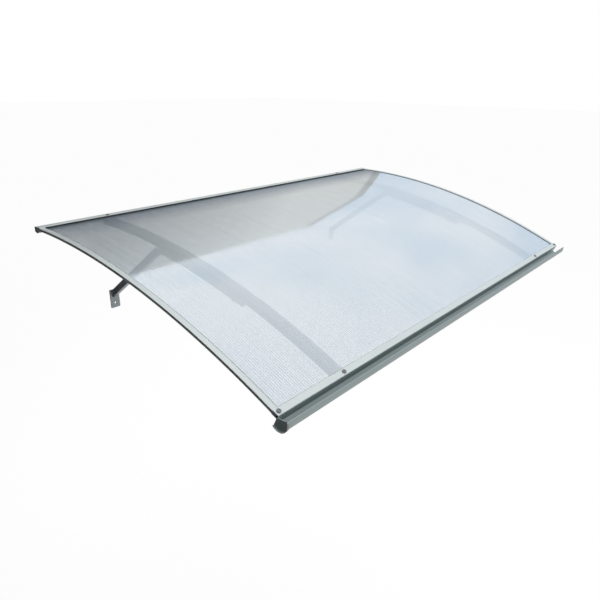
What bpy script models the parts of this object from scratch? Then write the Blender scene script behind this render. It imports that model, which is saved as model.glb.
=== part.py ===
"""Door canopy: a bent roof sheet in an aluminium frame, with a front gutter and two wall arms.

Metres, +Z up. X runs along the wall, the wall is the plane y = 0, and the roof reaches towards -Y.
The origin is the middle of the wall seal's back face.
"""
import math

import bmesh
import bpy
from mathutils import Matrix, Vector

# Overall sizes
WIDTH = 1.500            # along the wall
DEPTH = 0.9085           # wall to the front edge of the roof
DROP = 0.187             # height that the roof line loses from its rear edge to its front edge
SAGITTA = 0.050          # rise of the bend over the straight line between those edges
ROOF_RISE = 0.007        # rear edge of the roof line above the origin
ROOF_STEPS = 14          # flat facets that follow the bend
CLEARANCE = 0.0003       # between pieces that touch on the real canopy

# Roof sheet, two skins with webs between them, and the rubber strips that bed it
SHEET_THICKNESS = 0.004
SHEET_SKIN = 0.0005
SHEET_WEB = 0.0005
FLUTE_PITCH = 0.0375     # web to web, wider than on a real sheet to keep the faces few
GASKET_THICKNESS = 0.0008
GASKET_WIDTH = 0.005
GASKET_SHOW = 0.0015     # how far a gasket looks out from under its flange

# Side arches, bent U sections on the sheet's side edges
ARCH_WALL = 0.0009
ARCH_FLANGE = 0.014
ARCH_ROUND = 0.0004

# Wall profile
SEAL_DEPTH = 0.0057
SEAL_HEIGHT = 0.014
LIP_REACH = 0.0245       # lip and ledge that hold the sheet's rear edge
LIP_THICKNESS = 0.0025
LEDGE_THICKNESS = 0.0015
PROFILE_WALL = 0.0015
BOX_DEPTH = 0.010        # hollow box under the ledge, at its top
BOX_FOOT = 0.005         # and at its lower edge
PROFILE_HEIGHT = 0.0165  # below the roof line

# Front clamping strip, and the seal between the sheet and the gutter
STRIP_REACH = 0.016
STRIP_THICKNESS = 0.0025
STRIP_ROUND = 0.0012
FRONT_SEAL_DEPTH = 0.0035

# Gutter, one section with the ledge under the sheet
GUTTER_RADIUS = 0.020    # outside of the round trough
GUTTER_WALL = 0.0012
GUTTER_FORWARD = 0.0048  # trough centre ahead of the roof's front edge
GUTTER_DROP = 0.0082     # trough centre below the roof's front edge
GUTTER_LIP_HEIGHT = 0.0078
GUTTER_BEAD = 0.0014     # radius of the bead along the front lip
BEAD_START = math.radians(-60)   # where the bead leaves the trough's inner face
BEAD_STEPS = 8
GUTTER_BACK_WALL = 0.0015
GUTTER_GAP = 0.002       # clamping strip down to the top of the gutter's back wall
GUTTER_ARC_STEPS = 18
COLLAR_LENGTH = 0.0015   # how far the end cap's rim reaches over the trough
COLLAR_WALL = 0.0012
RIM_STAND = 0.003        # cap rim proud of the cap plate

# Ribs
RIB_INSET = 0.2045       # rib centres from the ends of the canopy
RIB_WIDTH = 0.030
RIB_DEPTH = 0.015
RIB_WALL = 0.0015
RIB_ROUND = 0.0012
PAD_INSET = 0.003        # rib edge to bearing pad edge

# Wall arms
ARM_WIDTH = 0.015
ARM_DEPTH = 0.020
ARM_WALL = 0.0015
ARM_ROUND = 0.0016
ARM_ANGLE = math.radians(36.5)
ARM_BEND = 0.060         # bend radius on the arm's centre line
ARM_BEND_STEPS = 7
ARM_REACH = 0.600        # wall to the arm's front end
ARM_CLEARANCE = 0.0005
PLUG_FLANGE = 0.0025
PLUG_LENGTH = 0.012
FOOT_WIDTH = 0.030
FOOT_HEIGHT = 0.060
FOOT_THICKNESS = 0.004
FOOT_ROUND = 0.0015
FOOT_TOP = -0.230
FOOT_HOLE_RISE = 0.015   # hole above the foot's lower edge
FOOT_HOLE_RADIUS = 0.0035

# Fasteners
SCREW_RADIUS = 0.002
SCREW_HEAD_RADIUS = 0.004
SCREW_HEAD_HEIGHT = 0.0024
SCREW_HEAD_EDGE = 0.35   # of the head's height and radius, outside its dome
SCREW_DOME = math.radians(72)
SCREW_DOME_STEPS = 4
SCREW_POINT_RADIUS = 0.0006
SCREW_TIP = 0.003
SCREW_INSET = 0.0095     # from the roof's front edge
CORNER_SCREW_INSET = 0.009
REAR_SCREW_REACH = 0.0155
BOLT_RADIUS = 0.003
BOLT_FLAT = 0.005        # half the width across the hexagon's flats
BOLT_HEAD_HEIGHT = 0.004
BOLT_CHAMFER = 0.0004
BOLT_LEAD = 0.0008       # chamfer on the shank's end
BOLT_TIP = 0.004         # shank beyond the rib's wall
BOLT_INSET = 0.030       # from each end of the arm's upper leg
WALL_SCREW_RADIUS = 0.003        # holes through the wall profile's box and its seal
WALL_SCREW_INSETS = (0.07, 0.50)   # from the ends of the canopy
ROUND_SEGMENTS = 16
HEXAGON_SEGMENTS = 12

# Places along the wall
END = WIDTH / 2
SLOT_END = END - ARCH_WALL - CLEARANCE
RIB_X = END - RIB_INSET

# Levels below the roof line, measured square to the sheet
SLOT_TOP = ARCH_WALL
GASKET_TOP = SLOT_TOP + CLEARANCE
SHEET_TOP = GASKET_TOP + GASKET_THICKNESS + CLEARANCE
SHEET_BOTTOM = SHEET_TOP + SHEET_THICKNESS
LEDGE_TOP = SHEET_BOTTOM + CLEARANCE
LEDGE_BOTTOM = LEDGE_TOP + LEDGE_THICKNESS
RIB_TOP = LEDGE_BOTTOM + CLEARANCE
RIB_BOTTOM = RIB_TOP + RIB_DEPTH
ARM_TOP = RIB_BOTTOM + ARM_CLEARANCE
ARM_MIDDLE = ARM_TOP + ARM_DEPTH / 2
ARM_BOTTOM = ARM_TOP + ARM_DEPTH
BACK_WALL_TOP = SLOT_TOP + GUTTER_GAP

# Places behind the roof's front edge, where the seal is packed against the gutter's back wall
SEAL_FRONT = GUTTER_BACK_WALL + CLEARANCE
SEAL_REAR = SEAL_FRONT + FRONT_SEAL_DEPTH
SHEET_FRONT = SEAL_REAR + CLEARANCE

# Roof line: an arc in the (y, z) plane from the wall profile's back to the front edge
BACK = SEAL_DEPTH + CLEARANCE
REAR_EDGE = Vector((-BACK, ROOF_RISE))
FRONT_EDGE = Vector((-DEPTH, ROOF_RISE - DROP))
CHORD = FRONT_EDGE - REAR_EDGE
ROOF_RADIUS = (CHORD.length ** 2 / 4 + SAGITTA ** 2) / (2 * SAGITTA)
CHORD_UP = Vector((CHORD.y, -CHORD.x)).normalized()
ROOF_CENTRE = REAR_EDGE + CHORD / 2 - CHORD_UP * (ROOF_RADIUS - SAGITTA)
REAR_ANGLE = math.atan2(REAR_EDGE.y - ROOF_CENTRE.y, REAR_EDGE.x - ROOF_CENTRE.x)
STEP_ANGLE = 2 * math.asin(CHORD.length / 2 / ROOF_RADIUS) / ROOF_STEPS
FACET = 2 * ROOF_RADIUS * math.sin(STEP_ANGLE / 2)
ROOF_LENGTH = FACET * ROOF_STEPS
GUTTER_CENTRE = FRONT_EDGE + Vector((-GUTTER_FORWARD, -GUTTER_DROP))
PROFILE_LOW = ROOF_RISE - PROFILE_HEIGHT

# Each node's colour, roughness and metallic value
ALUMINIUM = ((0.60, 0.65, 0.64), 0.42, 0.85)
SHADED_ALUMINIUM = ((0.50, 0.54, 0.55), 0.45, 0.85)
STEEL = ((0.62, 0.62, 0.60), 0.30, 1.0)
RUBBER = ((0.015, 0.016, 0.018), 0.80, 0.0)
CAP_PLASTIC = ((0.30, 0.33, 0.34), 0.50, 0.0)
BLACK_PLASTIC = ((0.02, 0.02, 0.022), 0.45, 0.0)
PAD_PLASTIC = ((0.78, 0.80, 0.80), 0.55, 0.0)
POLYCARBONATE = ((0.78, 0.84, 0.88), 0.15, 0.0)


def turn(angle):
    """Unit vector in the (y, z) plane."""
    return Vector((math.cos(angle), math.sin(angle)))


def roof_vertex(index):
    """Corner between two facets of the roof line, with the up-vector that keeps offsets parallel."""
    up = turn(REAR_ANGLE + index * STEP_ANGLE)
    return ROOF_CENTRE + up * ROOF_RADIUS, up / math.cos(STEP_ANGLE / 2)


def roof_station(along):
    """Point of the roof line at a distance from its rear edge, with the facet's up-vector."""
    index = min(max(int(along / FACET), 0), ROOF_STEPS - 1)
    start = roof_vertex(index)[0]
    run = (roof_vertex(index + 1)[0] - start) / FACET
    return start + run * (along - index * FACET), Vector((run.y, -run.x))


def roof_run(start, end):
    """Stations from one distance along the roof line to another, with the facet corners between."""
    corners = [k for k in range(1, ROOF_STEPS) if start + CLEARANCE < k * FACET < end - CLEARANCE]
    return [roof_station(start)] + [roof_vertex(k) for k in corners] + [roof_station(end)]


def on_roof(along, up=0.0):
    """Point in the (y, z) plane at a distance along the roof line and a height over it."""
    point, normal = roof_station(along)
    return point + normal * up


def on_front(forward, up=0.0):
    """Like on_roof, measured forward from the roof's front edge, so negative on the roof."""
    return on_roof(ROOF_LENGTH + forward, up)


def corner_arc(before, corner, after, radius, steps):
    """Points that round one corner of an outline."""
    one, two = (before - corner).normalized(), (after - corner).normalized()
    half = one.angle(two) / 2
    reach = radius / math.tan(half)
    centre = corner + (one + two).normalized() * (radius / math.sin(half))
    start, end = corner + one * reach - centre, corner + two * reach - centre
    spread = start.angle_signed(end)
    return [centre + Matrix.Rotation(-spread * k / steps, 2) @ start for k in range(steps + 1)]


def rounded(corners, steps=3):
    """Outline from (point, radius) corners, with an arc where a radius is given."""
    points = []
    for k, (point, radius) in enumerate(corners):
        if radius:
            before, after = corners[k - 1][0], corners[(k + 1) % len(corners)][0]
            points += corner_arc(before, point, after, radius, steps)
        else:
            points.append(point)
    return points


def box_outline(left, right, low, high, radius=0.0):
    corners = [Vector((left, low)), Vector((right, low)), Vector((right, high)), Vector((left, high))]
    return rounded([(corner, radius) for corner in corners])


def tube_outline(centre, width, low, high, wall, radius):
    """Outer and inner outline of a box section."""
    left, right = centre - width / 2, centre + width / 2
    outer = box_outline(left, right, low, high, radius)
    return [outer, box_outline(left + wall, right - wall, low + wall, high - wall)]


def finish(name, mesh, look):
    """Object of a mesh, with its own material and the canopy's empty as its parent."""
    colour, roughness, metallic = look
    material = bpy.data.materials.new(name + "_finish")
    material.use_nodes = True
    shader = material.node_tree.nodes["Principled BSDF"]
    shader.inputs["Base Color"].default_value = (*colour, 1.0)
    shader.inputs["Roughness"].default_value = roughness
    shader.inputs["Metallic"].default_value = metallic
    mesh.materials.append(material)
    mesh.shade_smooth()
    mesh.set_sharp_from_angle(angle=math.radians(30))
    piece = bpy.data.objects.new(name, mesh)
    bpy.context.scene.collection.objects.link(piece)
    piece.parent = bpy.data.objects["canopy"]
    return piece


def mesh_from(name, bm):
    bmesh.ops.recalc_face_normals(bm, faces=bm.faces)
    mesh = bpy.data.meshes.new(name)
    bm.to_mesh(mesh)
    bm.free()
    return mesh


def sweep_mesh(name, outlines, places):
    """Closed body of an outline, with any further outlines as hollows, carried through places.

    Each place is a function from an outline point to a point in space.
    """
    bm = bmesh.new()
    rings = [[[bm.verts.new(place(p)) for p in outline] for outline in outlines] for place in places]
    for ring, following in zip(rings, rings[1:]):
        for loop, onward in zip(ring, following):
            for k, corner in enumerate(loop):
                bm.faces.new((loop[k - 1], corner, onward[k], onward[k - 1]))
    for ring in (rings[0], rings[-1]):
        edges = [bm.edges.get((loop[k - 1], loop[k])) for loop in ring for k in range(len(loop))]
        bmesh.ops.triangle_fill(bm, edges=edges)
    return mesh_from(name, bm)


def along_wall(*xs):
    """Places for a section in the (y, z) plane, extruded along X."""
    return [lambda p, x=x: (x, p.x, p.y) for x in xs]


def across(stations):
    """Places for a section of (x, up) points, carried through stations in the (y, z) plane."""
    return [lambda p, at=at, up=up: (p.x, at.x + p.y * up.x, at.y + p.y * up.y) for at, up in stations]


def profile(name, look, outlines, *xs):
    return finish(name, sweep_mesh(name, outlines, along_wall(*xs)), look)


def bar(name, look, outlines, stations):
    return finish(name, sweep_mesh(name, outlines, across(stations)), look)


def ring(bm, radius, height, hexagonal):
    """Corners round local Z: of a circle, or of a hexagon given by half its width across flats."""
    count = HEXAGON_SEGMENTS if hexagonal else ROUND_SEGMENTS
    corners = []
    for k in range(count):
        angle = math.tau * k / count
        from_flat = (angle + math.pi / 6) % (math.pi / 3) - math.pi / 6
        reach = radius / math.cos(from_flat) if hexagonal else radius
        corners.append(bm.verts.new((reach * math.cos(angle), reach * math.sin(angle), height)))
    return corners


def loop_edges(bm, loop):
    """Edges round a loop of corners, new where there are none."""
    pairs = [(loop[k - 1], loop[k]) for k in range(len(loop))]
    return [bm.edges.get(pair) or bm.edges.new(pair) for pair in pairs]


def turned_mesh(name, rings, placing):
    """Body turned about local Z through rings of (radius, height, hexagonal)."""
    bm = bmesh.new()
    loops = [ring(bm, *step) for step in rings]
    for low, high in zip(loops, loops[1:]):
        if len(low) == len(high):
            for k in range(len(low)):
                bm.faces.new((low[k - 1], low[k], high[k], high[k - 1]))
        else:
            bmesh.ops.triangle_fill(bm, edges=loop_edges(bm, low) + loop_edges(bm, high))
    bm.faces.new(loops[0])
    bm.faces.new(loops[-1])
    bmesh.ops.transform(bm, matrix=placing, verts=bm.verts)
    return mesh_from(name, bm)


def square_to(point, up, x):
    """Matrix that stands local Z on the up-vector at a point of the (y, z) plane."""
    axis = Vector((0.0, up.x, up.y)).normalized()
    across_axis = Vector((1.0, 0.0, 0.0))
    turned = Matrix((across_axis, axis.cross(across_axis), axis)).transposed().to_4x4()
    return Matrix.Translation((x, point.x, point.y)) @ turned


def hidden(name, mesh):
    """Form that only cuts or joins other pieces."""
    form = bpy.data.objects.new(name, mesh)
    bpy.context.scene.collection.objects.link(form)
    form.parent = bpy.data.objects["canopy"]
    form.hide_render = True
    form.display_type = "WIRE"
    return form


def cutter(name, bodies):
    """One hidden object of round drills: (placing, radius, low, high)."""
    bm = bmesh.new()
    for placing, radius, low, high in bodies:
        middle = Matrix.Translation((0.0, 0.0, (low + high) / 2))
        bmesh.ops.create_cone(bm, cap_ends=True, segments=ROUND_SEGMENTS, radius1=radius, radius2=radius,
                              depth=high - low, matrix=placing @ middle)
    return hidden(name, mesh_from(name, bm))


def boolean(piece, other, operation="DIFFERENCE", solver="EXACT"):
    modifier = piece.modifiers.new(operation.lower(), "BOOLEAN")
    modifier.operation = operation
    modifier.solver = solver
    modifier.object = other


def roof_sheet():
    """Twin-wall sheet with open flutes, from the wall profile's slot to the front seal."""
    outlines = [box_outline(-SLOT_END, SLOT_END, -SHEET_BOTTOM, -SHEET_TOP)]
    flutes = round((2 * SLOT_END - SHEET_WEB) / FLUTE_PITCH)
    pitch = (2 * SLOT_END - SHEET_WEB) / flutes
    for left in [k * pitch + SHEET_WEB - SLOT_END for k in range(flutes)]:
        outlines.append(box_outline(left, left + pitch - SHEET_WEB,
                                    SHEET_SKIN - SHEET_BOTTOM, -SHEET_TOP - SHEET_SKIN))
    run = roof_run(PROFILE_WALL + CLEARANCE, ROOF_LENGTH - SHEET_FRONT)
    return bar("roof_sheet", POLYCARBONATE, outlines, run)


def side_name(base, side):
    return base + ("_left" if side < 0 else "_right")


def side_arch(side):
    """U section round one side edge of the sheet, with its gasket."""
    outer, web, inner = side * END, side * (END - ARCH_WALL), side * (END - ARCH_FLANGE)
    low = -(LEDGE_TOP + ARCH_WALL)
    corners = [((inner, 0.0), ARCH_ROUND), ((outer, 0.0), ARCH_ROUND), ((outer, low), ARCH_ROUND),
               ((inner, low), 0.0), ((inner, -LEDGE_TOP), 0.0), ((web, -LEDGE_TOP), 0.0),
               ((web, -SLOT_TOP), 0.0), ((inner, -SLOT_TOP), 0.0)]
    outline = rounded([(Vector(point), radius) for point, radius in corners], steps=2)
    run = roof_run(LIP_REACH + CLEARANCE, ROOF_LENGTH - STRIP_REACH - CLEARANCE)
    bar(side_name("side_arch", side), ALUMINIUM, [outline], run)

    edge = inner - side * GASKET_SHOW
    left, right = sorted((edge, edge + side * GASKET_WIDTH))
    strip = box_outline(left, right, -GASKET_TOP - GASKET_THICKNESS, -GASKET_TOP)
    run = roof_run(LIP_REACH + GASKET_SHOW + CLEARANCE,
                   ROOF_LENGTH - STRIP_REACH - GASKET_SHOW - CLEARANCE)
    bar(side_name("side_gasket", side), RUBBER, [strip], run)


def wall_profile():
    """Section with a slot for the sheet over a hollow box that leans forward, open at both ends."""
    front = on_roof(BOX_DEPTH, -LEDGE_BOTTOM)
    foot = Vector((-BACK - BOX_FOOT, PROFILE_LOW))
    lean = (foot.x - front.x) / (front.y - foot.y)
    wall = PROFILE_WALL * math.hypot(1.0, lean)
    corners = [(on_roof(0.0, LIP_THICKNESS - SLOT_TOP), ARCH_ROUND),
               (on_roof(LIP_REACH, LIP_THICKNESS - SLOT_TOP), ARCH_ROUND),
               (on_roof(LIP_REACH, -SLOT_TOP), 0.0),
               (on_roof(PROFILE_WALL, -SLOT_TOP), 0.0),
               (on_roof(PROFILE_WALL, -LEDGE_TOP), 0.0),
               (on_roof(LIP_REACH, -LEDGE_TOP), 0.0),
               (on_roof(LIP_REACH, -LEDGE_BOTTOM), 0.0),
               (front, 0.0),
               (foot, ARCH_ROUND),
               (Vector((-BACK, PROFILE_LOW)), ARCH_ROUND)]
    hollow = [on_roof(PROFILE_WALL, -LEDGE_BOTTOM),
              front + Vector((wall, 0.0)),
              foot + Vector((wall - lean * PROFILE_WALL, PROFILE_WALL)),
              Vector((-BACK - PROFILE_WALL, PROFILE_LOW + PROFILE_WALL))]
    return profile("wall_profile", ALUMINIUM, [rounded(corners, steps=2), hollow], -SLOT_END, SLOT_END)


def wall_profile_cap(side):
    """End cap of the wall profile, with a lower edge that rises towards the front."""
    corners = [(on_roof(0.0, LIP_THICKNESS - SLOT_TOP), ARCH_ROUND),
               (on_roof(LIP_REACH, LIP_THICKNESS - SLOT_TOP), ARCH_ROUND),
               (on_roof(LIP_REACH, -LEDGE_BOTTOM), ARCH_ROUND),
               (Vector((-BACK - BOX_FOOT, PROFILE_LOW)), ARCH_ROUND),
               (Vector((-BACK, PROFILE_LOW)), ARCH_ROUND)]
    name = side_name("wall_profile_cap", side)
    profile(name, CAP_PLASTIC, [rounded(corners, steps=2)], side * (END - ARCH_WALL), side * END)


def wall_seal():
    """Rubber strip between the wall profile and the wall."""
    half = SEAL_HEIGHT / 2
    outline = [Vector((0.0, half)), Vector((-SEAL_DEPTH, half)), Vector((-SEAL_DEPTH, -half)),
               Vector((0.0, -half))]
    return profile("wall_seal", RUBBER, [outline], -END, END)


def rear_gasket():
    """Rubber strip under the front edge of the wall profile's lip."""
    start = LIP_REACH + GASKET_SHOW - GASKET_WIDTH
    outline = [on_roof(start, -GASKET_TOP), on_roof(LIP_REACH + GASKET_SHOW, -GASKET_TOP),
               on_roof(LIP_REACH + GASKET_SHOW, -GASKET_TOP - GASKET_THICKNESS),
               on_roof(start, -GASKET_TOP - GASKET_THICKNESS)]
    profile("rear_gasket", RUBBER, [outline], -SLOT_END, SLOT_END)


def front_strip():
    """Clamping strip over the sheet's front edge."""
    top = STRIP_THICKNESS - SLOT_TOP
    corners = [(on_front(-STRIP_REACH, top), ARCH_ROUND), (on_front(0.0, top), STRIP_ROUND),
               (on_front(0.0, -SLOT_TOP), ARCH_ROUND), (on_front(-STRIP_REACH, -SLOT_TOP), 0.0)]
    return profile("front_strip", ALUMINIUM, [rounded(corners)], -END, END)


def front_gasket():
    """Rubber strip under the rear edge of the clamping strip."""
    rear = -STRIP_REACH - GASKET_SHOW
    outline = [on_front(rear, -GASKET_TOP), on_front(rear + GASKET_WIDTH, -GASKET_TOP),
               on_front(rear + GASKET_WIDTH, -GASKET_TOP - GASKET_THICKNESS),
               on_front(rear, -GASKET_TOP - GASKET_THICKNESS)]
    profile("front_gasket", RUBBER, [outline], -SLOT_END, SLOT_END)


def front_seal():
    """Rubber strip between the sheet's cut edge and the gutter's back wall."""
    outline = [on_front(-SEAL_REAR, -GASKET_TOP), on_front(-SEAL_FRONT, -GASKET_TOP),
               on_front(-SEAL_FRONT, -SHEET_BOTTOM), on_front(-SEAL_REAR, -SHEET_BOTTOM)]
    profile("front_seal", RUBBER, [outline], -END, END)


def front_corner_cap(side):
    """Thin cap over the sheet's side edge between the clamping strip and the ledge."""
    outline = [on_front(-STRIP_REACH, -GASKET_TOP), on_front(-SHEET_FRONT, -GASKET_TOP),
               on_front(-SHEET_FRONT, -SHEET_BOTTOM), on_front(-STRIP_REACH, -SHEET_BOTTOM)]
    name = side_name("front_corner_cap", side)
    profile(name, CAP_PLASTIC, [outline], side * (END - ARCH_WALL), side * END)


def back_wall_end(forward, radius):
    """Where a face of the gutter's back wall, square to the sheet, meets a circle of the trough."""
    start, up = roof_station(ROOF_LENGTH + forward)
    offset = start - GUTTER_CENTRE
    slope = -offset.dot(up)
    return start - up * (math.sqrt(slope ** 2 - offset.length_squared + radius ** 2) - slope)


def trough_arc(start, radius, steps):
    """Points round the trough from a point at its back, under it, to its front at centre height."""
    first = (start - GUTTER_CENTRE).angle_signed(Vector((1.0, 0.0)))
    angles = [first + (-math.pi - first) * k / steps for k in range(steps + 1)]
    return [GUTTER_CENTRE + turn(angle) * radius for angle in angles]


def gutter_profile():
    """One extruded section: ledge under the sheet, back wall, round trough and beaded front lip."""
    inner = GUTTER_RADIUS - GUTTER_WALL
    floor = trough_arc(back_wall_end(0.0, inner), inner, GUTTER_ARC_STEPS)
    outside = trough_arc(back_wall_end(-GUTTER_BACK_WALL, GUTTER_RADIUS), GUTTER_RADIUS, GUTTER_ARC_STEPS)
    lip_top = GUTTER_CENTRE.y + GUTTER_LIP_HEIGHT
    bead = Vector((GUTTER_CENTRE.x - GUTTER_RADIUS + GUTTER_BEAD, lip_top - GUTTER_BEAD))
    bead_turn = (math.pi - BEAD_START) / BEAD_STEPS
    bead_arc = [bead + turn(BEAD_START + bead_turn * k) * GUTTER_BEAD for k in range(BEAD_STEPS + 1)]
    outline = [on_front(-STRIP_REACH, -LEDGE_TOP), on_front(-GUTTER_BACK_WALL, -LEDGE_TOP),
               on_front(-GUTTER_BACK_WALL, -BACK_WALL_TOP), on_front(0.0, -BACK_WALL_TOP)]
    outline += floor + bead_arc + outside[::-1]
    outline += [on_front(-GUTTER_BACK_WALL, -LEDGE_BOTTOM), on_front(-STRIP_REACH, -LEDGE_BOTTOM)]
    return profile("gutter_profile", ALUMINIUM, [outline], -END, END)


def gutter_end_cap():
    """Cap on the gutter's left end: a plate recessed in a rim that grips the trough from outside."""
    outer = GUTTER_RADIUS + CLEARANCE + COLLAR_WALL
    lip_top = GUTTER_CENTRE.y + GUTTER_LIP_HEIGHT
    rim = trough_arc(back_wall_end(-GUTTER_BACK_WALL, outer), outer, GUTTER_ARC_STEPS)
    bore = trough_arc(back_wall_end(-GUTTER_BACK_WALL, outer - COLLAR_WALL), outer - COLLAR_WALL,
                      GUTTER_ARC_STEPS)
    plate = rim + [Vector((rim[-1].x, lip_top)), on_front(0.0, -BACK_WALL_TOP),
                   on_front(-GUTTER_BACK_WALL, -BACK_WALL_TOP)]
    collar = rim + [Vector((rim[-1].x, lip_top)), Vector((bore[-1].x, lip_top))] + bore[::-1]
    end = -END - CLEARANCE
    cap = profile("gutter_end_cap", CAP_PLASTIC, [plate], end - ARCH_WALL, end)
    places = along_wall(end - ARCH_WALL - RIM_STAND, end + COLLAR_LENGTH)
    boolean(cap, hidden("gutter_end_cap_rim", sweep_mesh("gutter_end_cap_rim", [collar], places)), "UNION")


def rib(side):
    """Bent box section under the sheet, from the wall profile's box to the gutter's back wall."""
    outlines = tube_outline(side * RIB_X, RIB_WIDTH, -RIB_BOTTOM, -RIB_TOP, RIB_WALL, RIB_ROUND)
    front = ROOF_LENGTH - GUTTER_BACK_WALL - CLEARANCE
    tube = bar(side_name("rib", side), ALUMINIUM, outlines, roof_run(BOX_DEPTH + CLEARANCE, front))

    left, right = side * RIB_X - RIB_WIDTH / 2 + PAD_INSET, side * RIB_X + RIB_WIDTH / 2 - PAD_INSET
    pad = box_outline(left, right, -LEDGE_BOTTOM, -LEDGE_TOP)
    run = roof_run(LIP_REACH + CLEARANCE, ROOF_LENGTH - STRIP_REACH - CLEARANCE)
    bar(side_name("rib_pad", side), PAD_PLASTIC, [pad], run)
    return tube


def arm_path():
    """Stations of the arm's centre line: a straight strut, a bend, and a leg along the rib."""
    start = Vector((-FOOT_THICKNESS - CLEARANCE, FOOT_TOP - ARM_DEPTH / 2 / math.cos(ARM_ANGLE)))
    forward = Vector((-math.cos(ARM_ANGLE), math.sin(ARM_ANGLE)))
    up = Vector((math.sin(ARM_ANGLE), math.cos(ARM_ANGLE)))
    leg_radius = ROOF_RADIUS - ARM_MIDDLE
    offset = start - up * ARM_BEND - ROOF_CENTRE
    along = forward.dot(offset)
    run = -along + math.sqrt(along ** 2 - offset.length_squared + (leg_radius - ARM_BEND) ** 2)
    bend_centre = start + forward * run - up * ARM_BEND
    touch = (bend_centre - ROOF_CENTRE).normalized()
    bend_start, bend_end = math.atan2(up.y, up.x), math.atan2(touch.y, touch.x)
    stations = [(start, Vector((0.0, 1.0 / math.cos(ARM_ANGLE))))]
    for k in range(ARM_BEND_STEPS + 1):
        normal = turn(bend_start + (bend_end - bend_start) * k / ARM_BEND_STEPS)
        stations.append((bend_centre + normal * ARM_BEND, normal))
    end = math.acos((-ARM_REACH - ROOF_CENTRE.x) / leg_radius)
    corners = [REAR_ANGLE + k * STEP_ANGLE for k in range(ROOF_STEPS)]
    margin = STEP_ANGLE / 8   # roof corners nearer than this to an end of the leg are passed over
    for angle in [a for a in corners if bend_end + margin < a < end - margin] + [end]:
        stations.append((ROOF_CENTRE + turn(angle) * leg_radius, turn(angle)))
    return stations, bend_end, end


def arm(side):
    """Bent box section from the wall foot to the underside of the rib."""
    outlines = tube_outline(side * RIB_X, ARM_WIDTH, -ARM_DEPTH / 2, ARM_DEPTH / 2, ARM_WALL, ARM_ROUND)
    return bar(side_name("arm", side), SHADED_ALUMINIUM, outlines, arm_path()[0])


def arm_plug(side):
    """Plastic plug in the arm's front end: a flange with a stem inside the tube."""
    end = arm_path()[2]
    up = turn(end)
    centre = ROOF_CENTRE + up * (ROOF_RADIUS - ARM_MIDDLE)
    ahead = Vector((-up.y, up.x))
    play = ARM_WALL + CLEARANCE
    stem = box_outline(side * RIB_X - ARM_WIDTH / 2 + play, side * RIB_X + ARM_WIDTH / 2 - play,
                       -ARM_DEPTH / 2 + play, ARM_DEPTH / 2 - play)
    flange = box_outline(side * RIB_X - ARM_WIDTH / 2, side * RIB_X + ARM_WIDTH / 2,
                         -ARM_DEPTH / 2, ARM_DEPTH / 2, ARM_ROUND)
    name = side_name("arm_plug", side)
    plug = bar(name, BLACK_PLASTIC, [flange],
               [(centre + ahead * CLEARANCE, up), (centre + ahead * (CLEARANCE + PLUG_FLANGE), up)])
    places = across([(centre - ahead * PLUG_LENGTH, up),
                     (centre + ahead * (CLEARANCE + PLUG_FLANGE / 2), up)])
    boolean(plug, hidden(name + "_stem", sweep_mesh(name + "_stem", [stem], places)), "UNION")


def arm_foot(side):
    """Flat plate on the wall, with one fixing hole near its lower edge."""
    outline = box_outline(side * RIB_X - FOOT_WIDTH / 2, side * RIB_X + FOOT_WIDTH / 2,
                          FOOT_TOP - FOOT_HEIGHT, FOOT_TOP, FOOT_ROUND)
    places = [lambda p, y=y: (p.x, y, p.y) for y in (-FOOT_THICKNESS, 0.0)]
    name = side_name("arm_foot", side)
    return finish(name, sweep_mesh(name, [outline], places), SHADED_ALUMINIUM)


def screw(name, placing, seat, length):
    """Pan head screw: the head sits a clearance over its seat, the shank reaches down from it."""
    head = seat + CLEARANCE
    rings = [(SCREW_POINT_RADIUS, head - length, False), (SCREW_RADIUS, head - length + SCREW_TIP, False),
             (SCREW_RADIUS, head, False), (SCREW_HEAD_RADIUS, head, False)]
    for k in range(SCREW_DOME_STEPS + 1):
        angle = SCREW_DOME * k / SCREW_DOME_STEPS
        reach = SCREW_HEAD_EDGE + (1 - SCREW_HEAD_EDGE) * math.cos(angle)
        rise = SCREW_HEAD_EDGE + (1 - SCREW_HEAD_EDGE) * math.sin(angle)
        rings.append((SCREW_HEAD_RADIUS * reach, head + SCREW_HEAD_HEIGHT * rise, False))
    finish(name, turned_mesh(name, rings, placing), STEEL)


def bolt(name, placing, seat, length):
    """Hexagon bolt driven upwards, with its head a clearance under its seat."""
    head = seat - CLEARANCE
    low = head - BOLT_HEAD_HEIGHT
    end = head + length
    rings = [(BOLT_FLAT - BOLT_CHAMFER, low, True), (BOLT_FLAT, low + BOLT_CHAMFER, True),
             (BOLT_FLAT, head, True), (BOLT_RADIUS, head, False),
             (BOLT_RADIUS, end - BOLT_LEAD, False), (BOLT_RADIUS - BOLT_LEAD, end, False)]
    finish(name, turned_mesh(name, rings, placing), STEEL)


def roof_screws():
    """Screw places through the sheet: (name, placing, seat over the roof line, tip below it)."""
    corner_x = END - CORNER_SCREW_INSET
    strip_top = STRIP_THICKNESS - SLOT_TOP
    lip_top = LIP_THICKNESS - SLOT_TOP
    places = []
    for side in (-1, 1):
        front = roof_station(ROOF_LENGTH - SCREW_INSET)
        rear = roof_station(REAR_SCREW_REACH)
        tip = RIB_TOP + RIB_WALL + SCREW_TIP
        places.append((side_name("front_screw", side), square_to(*front, side * RIB_X), strip_top, tip))
        places.append((side_name("corner_screw", side), square_to(*front, side * corner_x), strip_top,
                       LEDGE_BOTTOM + SCREW_TIP))
        places.append((side_name("rear_screw", side), square_to(*rear, side * RIB_X), lip_top, tip))
    return places


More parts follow.
